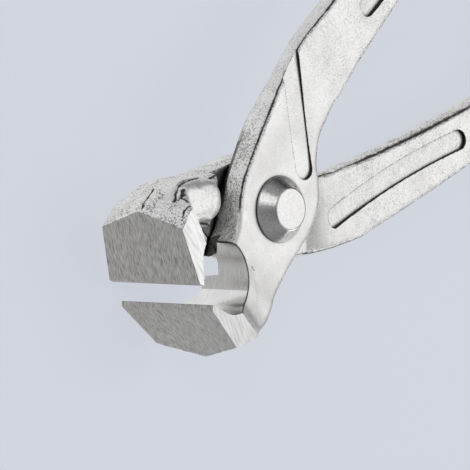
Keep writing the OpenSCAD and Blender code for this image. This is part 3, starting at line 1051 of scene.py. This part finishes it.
# how rough the forged skin is and where its dark lines run: trim lines and cracks, and painted shade along
# rounded corners and panel rims
skin = {
    "plainSlope": (0.90, 0.985),  # how level a forged face has to be to count as plain
    "jawPlainSlope": (0.45, 0.8),  # the same where the plate goes over into the jaw
    "wallSlope": (0.22, 0.5),
    "edgeSlope": (0.34, 0.60, 0.90),
    "sameFacing": 0.95,  # a corner that turns away more than this takes its face's own normal
    "jawAbove": (20, 23),  # where the jaw's skin starts on the plate side
    "jawBelow": (14, 18),  # and on the pocket side
    "plateToJaw": 8,
    "edgeFade": (7, 10),
    "wallShare": 0.2,
    "smoothWall": (6, 16),
    "smoothWallShare": 0.5,
    "handleGrain": 0.24,
    "handleGrainRange": (8, 30),
    "noseBelow": -2.2,
    "noseRoom": 0.4,
    "noseRoughness": 0.15,
    "noseFoldRoom": 1,
    "brightShare": 0.85,
    "trimAndShadeLine": 0.8,
    "mouthRim": (0.2, 0.55),
}

# the slanted walls that the cuts leave round the mouth's inner end, painted dark like a line: painted shade
# under the nose
shadedHollow = {
    "along": (7.9, 16.1),
    "across": (-6.1, 5.7),
    "slant": 0.83,
    "slantRoom": 0.04,
    "facingAlong": 0.05,
    "tipStart": 12.4,
    "tipRoom": 0.03,
}


def groundParts(piece):
    mesh = piece.data
    panelPart = [0] * len(mesh.polygons)
    for face in mesh.polygons:
        if face.material_index:
            panelPart[face.index] = wallPart if abs(face.normal.z) < groundRules["wallLevel"] else floorPart
    mesh.materials.clear()
    for material in kindMaterials:
        mesh.materials.append(material)
    lean, turn = math.radians(lever["faceLean"]), math.radians(lever["bevelAngle"])
    faceNormal = Vector((math.cos(lean), math.sin(lean), 0))
    facePoint = Vector((lever["edgeReach"] + lever["stripDepth"], lever["stripHeight"], 0))
    strip = Vector((lever["stripHeight"], -lever["stripDepth"], 0)).normalized()
    endSlope, centre = lever["endLean"] / lever["jawHeight"], mouthMiddle()
    gap, facing = groundRules["gap"], groundRules["facing"]

    def kindOf(spot, normal):
        fromFace = abs((spot - facePoint).dot(faceNormal))
        if normal.dot(faceNormal) > facing and fromFace < groundRules["faceGap"]:
            return faceKind
        if normal.dot(strip) > facing and spot.x > lever["edgeReach"] - groundRules["stripRoom"]:
            return faceKind
        fromEnd = abs(spot.z) + spot.y * endSlope - lever["jawWidth"] / 2
        if abs(normal.z) > groundRules["endLevel"] and abs(fromEnd) < gap:
            return endKind
        if abs(normal.z) < groundRules["uprightLevel"]:
            toAxis = Vector((centre - spot.x, -spot.y, 0))
            facesAxis = normal.dot(toAxis.normalized()) > groundRules["boreFacing"]
            if abs(toAxis.length - lever["mouthRadius"]) < gap and facesAxis:
                return boredKind if spot.y < groundRules["brightMouth"] else bevelKind
            if abs((spot.x - lever["edgeReach"]) * math.sin(turn) + spot.y * math.cos(turn)) < gap:
                return bevelKind
        return forgedKind

    for face in mesh.polygons:
        spot = face.center / mm
        face.material_index = kindOf(spot, face.normal) if spot.x > groundRules["headStart"] else forgedKind
        face.use_smooth = True
    mesh.set_sharp_from_angle(angle=math.radians(groundRules["sharpAngle"]))
    return panelPart


def insideNose(spot, reach):
    turn = math.radians(nose["angle"])
    along = Vector((math.cos(turn), math.sin(turn)))
    offset = spot.xy - Vector(nose["middle"])
    nearest = along * min(max(offset.dot(along), 0), nose["length"])
    return (offset - nearest).length < nose["radius"] + reach


def inShadedHollow(spot, normal):
    slanted = abs(abs(normal.z) - shadedHollow["slant"]) < shadedHollow["slantRoom"]
    slanted = slanted and abs(normal.x) < shadedHollow["facingAlong"]
    atTip = abs(spot.x - shadedHollow["tipStart"]) < shadedHollow["tipRoom"]
    (nearX, farX), (lowY, highY) = shadedHollow["along"], shadedHollow["across"]
    return nearX < spot.x < farX and lowY < spot.y < highY and (slanted or atTip)


def skinMarks(spot, normal, flat):
    low, middle, high = skin["edgeSlope"]
    level = abs((normal if normal.dot(flat) > skin["sameFacing"] else flat).z)
    offJaw = 1 - ramp(spot.x, *skin["jawAbove" if spot.z > 0 else "jawBelow"])
    plateToJaw = spot.z > 0 and spot.x > skin["plateToJaw"]
    plain = ramp(level, *skin["jawPlainSlope" if plateToJaw else "plainSlope"]) * offJaw
    wall = (1 - ramp(level, *skin["wallSlope"])) * offJaw
    smoothWall = wall * ramp(-spot.x, *skin["smoothWall"]) if flat.y < 0 else 0
    rough = 1 - plain - skin["wallShare"] * wall - skin["smoothWallShare"] * smoothWall
    rough = max(rough, skin["handleGrain"] * ramp(-spot.x, *skin["handleGrainRange"]))
    # a dark band where the skin turns from face to wall: painted shade on the rounded corner, with the trim
    # line
    edge = ramp(level, low, middle) * (1 - ramp(level, middle, high)) * offJaw
    if plateToJaw:
        edge *= 1 - ramp(spot.x, *skin["edgeFade"])
    if wall < 1:
        rough = max(rough, edge)
    if spot.z < skin["noseBelow"] and insideNose(spot, skin["noseRoom"]):
        rough, edge = skin["noseRoughness"], 0
    if onRoof(spot):
        # painted highlight: the roof's skin turns plain and smooth round the highlight spots
        rough *= 1 - skin["brightShare"] * highlightAt(spot)
        edge = max(0 if insideNose(spot, skin["noseFoldRoom"]) else edge, foldAt(spot)[1])
    return rough, edge


def forgedTexture(piece, panelPart):
    mesh = piece.data
    roughness = mesh.attributes.new("roughness", "FLOAT", "CORNER")
    darkLineAndShade = mesh.attributes.new("darkLineAndShade", "FLOAT", "CORNER")
    centre = mouthMiddle()
    normals = [vertex.normal.copy() for vertex in mesh.vertices]
    panelRim = {index for face in mesh.polygons if panelPart[face.index] for index in face.vertices}
    trimmed = {index for face in mesh.polygons if face.material_index for index in face.vertices}
    for face in mesh.polygons:
        if face.material_index:
            continue
        part = panelPart[face.index]
        # the shaded hollow and the panels' walls are painted dark all over: painted shade in recesses
        isPaintedShade = inShadedHollow(face.center / mm, face.normal) or part == wallPart
        for corner in face.loop_indices:
            index = mesh.loops[corner].vertex_index
            spot = mesh.vertices[index].co / mm
            rough, edge = skinMarks(spot, normals[index], face.normal)
            # dark lines beside ground cuts and round the panels: trim lines, with painted shade at the
            # panels' rims
            if index in trimmed and spot.x > groundRules["headStart"] or index in panelRim and not part:
                edge = max(edge, skin["trimAndShadeLine"])
            rim = abs(math.hypot(spot.x - centre, spot.y) - lever["mouthRadius"])
            edge = max(edge, 1 - ramp(rim, *skin["mouthRim"]))
            roughness.data[corner].value = rough
            darkLineAndShade.data[corner].value = 1 if isPaintedShade else edge


def makeLever():
    piece = forgedBlank()
    cutters = [pocketCutter(), *mouthWedges(), *mouthCutters(), frontCutter()]
    cutters += [endCutter(1), endCutter(-1), boreCutter()]
    for cutter in cutters:
        cut(piece, cutter)
    pressed = panels()
    for part in (piece, *pressed):
        part.data.materials.append(forgedMaterial)
        part.data.materials.append(faceMaterial)
    for cutter in pressed:
        for face in cutter.data.polygons:
            face.material_index = 1  # marks the panels' faces for groundParts
        cut(piece, cutter)
    return piece


def placed(piece, isBack):
    turn = math.radians(-lever["restAngle"] if isBack else lever["restAngle"])
    place = Matrix.Translation(pivot) @ Matrix.Rotation(turn, 4, "Z")
    if isBack:
        place = place @ Matrix.Rotation(math.pi, 4, "X")
    piece.data.transform(place)
    piece.data.update()


frontLever = makeLever()
frontLever.name = "frontLever"
forgedTexture(frontLever, groundParts(frontLever))
backLever = bpy.data.objects.new("backLever", frontLever.data.copy())
scene.collection.objects.link(backLever)
placed(frontLever, False)
placed(backLever, True)
for piece, node, body in (
    (frontLever, "lever_front", "front_half"),
    (backLever, "lever_back", "back_half"),
):
    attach(piece, body)
    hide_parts(node)
print("levers ready", len(frontLever.data.polygons))

rivet = {
    "footRadius": 6.25,
    "topRadius": 3.9,
    "shankRadius": 4.0,
    "front": 7.0,
    "back": -7.06,
    "height": 3.1,
    "step": 0.4,
    "rounding": 0.34,
    "segments": 128,
    "profileShift": 3.0,  # the profile is drawn about this radius
    "sharpAngle": 50,
}

grip = {
    "wall": 2.8,
    "faceWall": 2.2,
    "cap": 3.0,
    "lip": 1.4,
    "lipLength": 16.0,
    "rim": 1.6,
    "rimRings": 6,
    "rimRounding": 0.2,
    "capRings": 7,
    "capTurns": 7.3,
    "sizedAt": 0.8,  # where along the handle the sleeve takes its width
    "squareness": 3.0,
    "around": 56,
    "along": 90,
    "sag": 0.16,  # unevenness of the dipped skin
    "sagScale": 60,
    "sagMiddle": 0.6,
}


def newTree(name, *settings):
    tree = bpy.data.node_groups.new(name, "GeometryNodeTree")
    for label, kind, value in (("Geometry", "NodeSocketGeometry", None), *settings):
        socket = tree.interface.new_socket(label, in_out="INPUT", socket_type=kind)
        if value is not None:
            socket.default_value = value
    tree.interface.new_socket("Geometry", in_out="OUTPUT", socket_type="NodeSocketGeometry")
    return tree, addNode(tree, "NodeGroupInput").outputs


def finished(tree, shape, given):
    shape = wired(tree, "GeometryNodeRealizeInstances", {0: shape})
    painted = {"Geometry": shape, "Material": given["Material"]}
    addNode(tree, "NodeGroupOutput", {0: wired(tree, "GeometryNodeSetMaterial", painted)})
    return tree


def revolveTree():
    tree, given = newTree(
        "revolveProfile",
        ("Radius", "NodeSocketFloat", 0.003),
        ("Segments", "NodeSocketInt", 64),
        ("Material", "NodeSocketMaterial", None),
    )
    circle = {"Radius": given["Radius"], "Resolution": given["Segments"]}
    circle = wired(tree, "GeometryNodeCurvePrimitiveCircle", circle)
    upright = wired(tree, "GeometryNodeSetCurveNormal", {"Curve": circle}, mode="Z_UP")
    swept = {"Curve": upright, "Profile Curve": given["Geometry"]}
    swept = wired(tree, "GeometryNodeCurveToMesh", swept)
    merged = {"Geometry": swept, "Distance": 0.01 * mm}
    return finished(tree, wired(tree, "GeometryNodeMergeByDistance", merged), given)


def dippedTree():
    tree, given = newTree(
        "dippedSkin",
        ("Half width", "NodeSocketFloat", 0.007),
        ("Half thickness", "NodeSocketFloat", 0.005),
        ("Squareness", "NodeSocketFloat", 3.0),
        ("Around", "NodeSocketInt", 48),
        ("Sag", "NodeSocketFloat", 0.0001),
        ("Material", "NodeSocketMaterial", None),
    )
    circle = {"Radius": 1, "Resolution": given["Around"]}
    circle = wired(tree, "GeometryNodeCurvePrimitiveCircle", circle)
    spot = wired(tree, "GeometryNodeInputPosition")
    split = addNode(tree, "ShaderNodeSeparateXYZ", {0: spot}).outputs
    power = formula(tree, "DIVIDE", 2.0, given["Squareness"])
    sides = {}
    for axis, label in ((0, "Half width"), (1, "Half thickness")):
        size = formula(tree, "POWER", formula(tree, "ABSOLUTE", split[axis]), power)
        signed = formula(tree, "MULTIPLY", size, formula(tree, "SIGN", split[axis]))
        sides[axis] = formula(tree, "MULTIPLY", signed, given[label])
    profile = {"Geometry": circle, "Position": wired(tree, "ShaderNodeCombineXYZ", sides)}
    swept = {
        "Curve": wired(tree, "GeometryNodeSetCurveNormal", {"Curve": given["Geometry"]}, mode="Z_UP"),
        "Profile Curve": wired(tree, "GeometryNodeSetPosition", profile),
        "Scale": wired(tree, "GeometryNodeInputRadius"),
        "Fill Caps": True,
    }
    uneven = wired(tree, "ShaderNodeTexNoise", {"Scale": grip["sagScale"], "Detail": 2})
    height = formula(tree, "SUBTRACT", uneven, grip["sagMiddle"])
    push = {
        0: wired(tree, "GeometryNodeInputNormal"),
        "Scale": formula(tree, "MULTIPLY", height, given["Sag"]),
    }
    sagged = {
        "Geometry": wired(tree, "GeometryNodeCurveToMesh", swept),
        "Offset": wired(tree, "ShaderNodeVectorMath", push, operation="SCALE"),
    }
    return finished(tree, wired(tree, "GeometryNodeSetPosition", sagged), given)


def grown(name, points, tree, settings):
    curve = bpy.data.curves.new(name, "CURVE")
    curve.dimensions = "3D"
    spline = curve.splines.new("POLY")
    spline.points.add(len(points) - 1)
    for point, (x, y, z, size) in zip(spline.points, points):
        point.co = (x * mm, y * mm, z * mm, 1)
        point.radius = size
    source = bpy.data.objects.new(name + "Path", curve)
    scene.collection.objects.link(source)
    step = source.modifiers.new("grow", "NODES")
    step.node_group = tree
    for socket in tree.interface.items_tree:
        if socket.item_type == "SOCKET" and socket.in_out == "INPUT" and socket.name in settings:
            step[socket.identifier] = settings[socket.name]
    graph = bpy.context.evaluated_depsgraph_get()
    mesh = bpy.data.meshes.new_from_object(source.evaluated_get(graph), depsgraph=graph)
    bpy.data.objects.remove(source)
    piece = meshObject(name, mesh)
    for face in piece.data.polygons:
        face.use_smooth = True
    return piece


def roundedProfile(points, radius):
    steps, most = 5, 0.45
    smooth = [points[0]]
    for before, corner, after in zip(points, points[1:], points[2:]):
        here = Vector(corner)
        toBefore, toAfter = Vector(before) - here, Vector(after) - here
        start = here + toBefore.normalized() * min(radius, toBefore.length * most)
        end = here + toAfter.normalized() * min(radius, toAfter.length * most)
        for k in range(steps + 1):
            t = k / steps
            smooth.append(tuple(start * (1 - t) ** 2 + here * 2 * t * (1 - t) + end * t * t))
    return smooth + [points[-1]]


def makeRivet():
    foot, top, shank = rivet["footRadius"], rivet["topRadius"], rivet["shankRadius"]
    front, back = rivet["front"], rivet["back"]
    outline = [
        (0, front + rivet["height"]), (top, front + rivet["height"]), (foot, front + rivet["step"]),
        (foot, front), (shank, front), (shank, back), (foot, back), (foot, back - rivet["step"]),
        (top, back - rivet["height"]), (0, back - rivet["height"]),
    ]
    middle = rivet["profileShift"]
    points = [(r - middle, -z, 0, 1) for r, z in roundedProfile(outline, rivet["rounding"])]
    settings = {"Radius": middle * mm, "Segments": rivet["segments"], "Material": rivetMaterial}
    return grown("rivetHeads", points, revolveTree(), settings)


def makeGrip(name):
    length, rim, rimRings = lever["gripLength"], grip["rim"], grip["rimRings"]
    start = 1 - length / handleSpan
    distances = [rim * (k / rimRings) ** 2 for k in range(rimRings)]
    distances += [rim + (length - rim) * k / grip["along"] for k in range(grip["along"] + 1)]
    points = []
    for distance in distances:
        u = start + (1 - start) * distance / length
        lip = grip["lip"] * max(0, 1 - distance / grip["lipLength"]) ** 2
        rounding = 1 - grip["rimRounding"] * (1 - min(1, distance / rim)) ** 2
        points.append((*spinePoint(u), (1 + lip / (grip["wall"] + halfWidth(u))) * rounding))
    turn, end = spineTurn(1), spinePoint(1)
    for k in range(1, grip["capRings"] + 1):
        bend = math.pi / 2 * k / grip["capTurns"]
        reach = grip["cap"] * math.sin(bend)
        x, y = end.x - reach * math.cos(turn), end.y - reach * math.sin(turn)
        points.append((x, y, end.z, math.cos(bend)))
    settings = {
        "Half width": (halfWidth(grip["sizedAt"]) + grip["wall"]) * mm,
        "Half thickness": (halfThickness(grip["sizedAt"]) + grip["faceWall"]) * mm,
        "Squareness": grip["squareness"],
        "Around": grip["around"],
        "Sag": grip["sag"] * mm,
        "Material": gripMaterial,
    }
    return grown(name, points, dippedTree(), settings)


rivetPiece = makeRivet()
placed(rivetPiece, False)
rivetPiece.data.set_sharp_from_angle(angle=math.radians(rivet["sharpAngle"]))
frontGrip = makeGrip("frontGrip")
placed(frontGrip, False)
backGrip = makeGrip("backGrip")
placed(backGrip, True)
for piece, node, body, slot in (
    (rivetPiece, "rivet", "front_half", "rivet_steel"),
    (frontGrip, "grip_front", "front_half", "grip_plastic"),
    (backGrip, "grip_back", "back_half", "grip_plastic"),
):
    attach(piece, body)
    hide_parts(node)
print("rivet and grips ready")
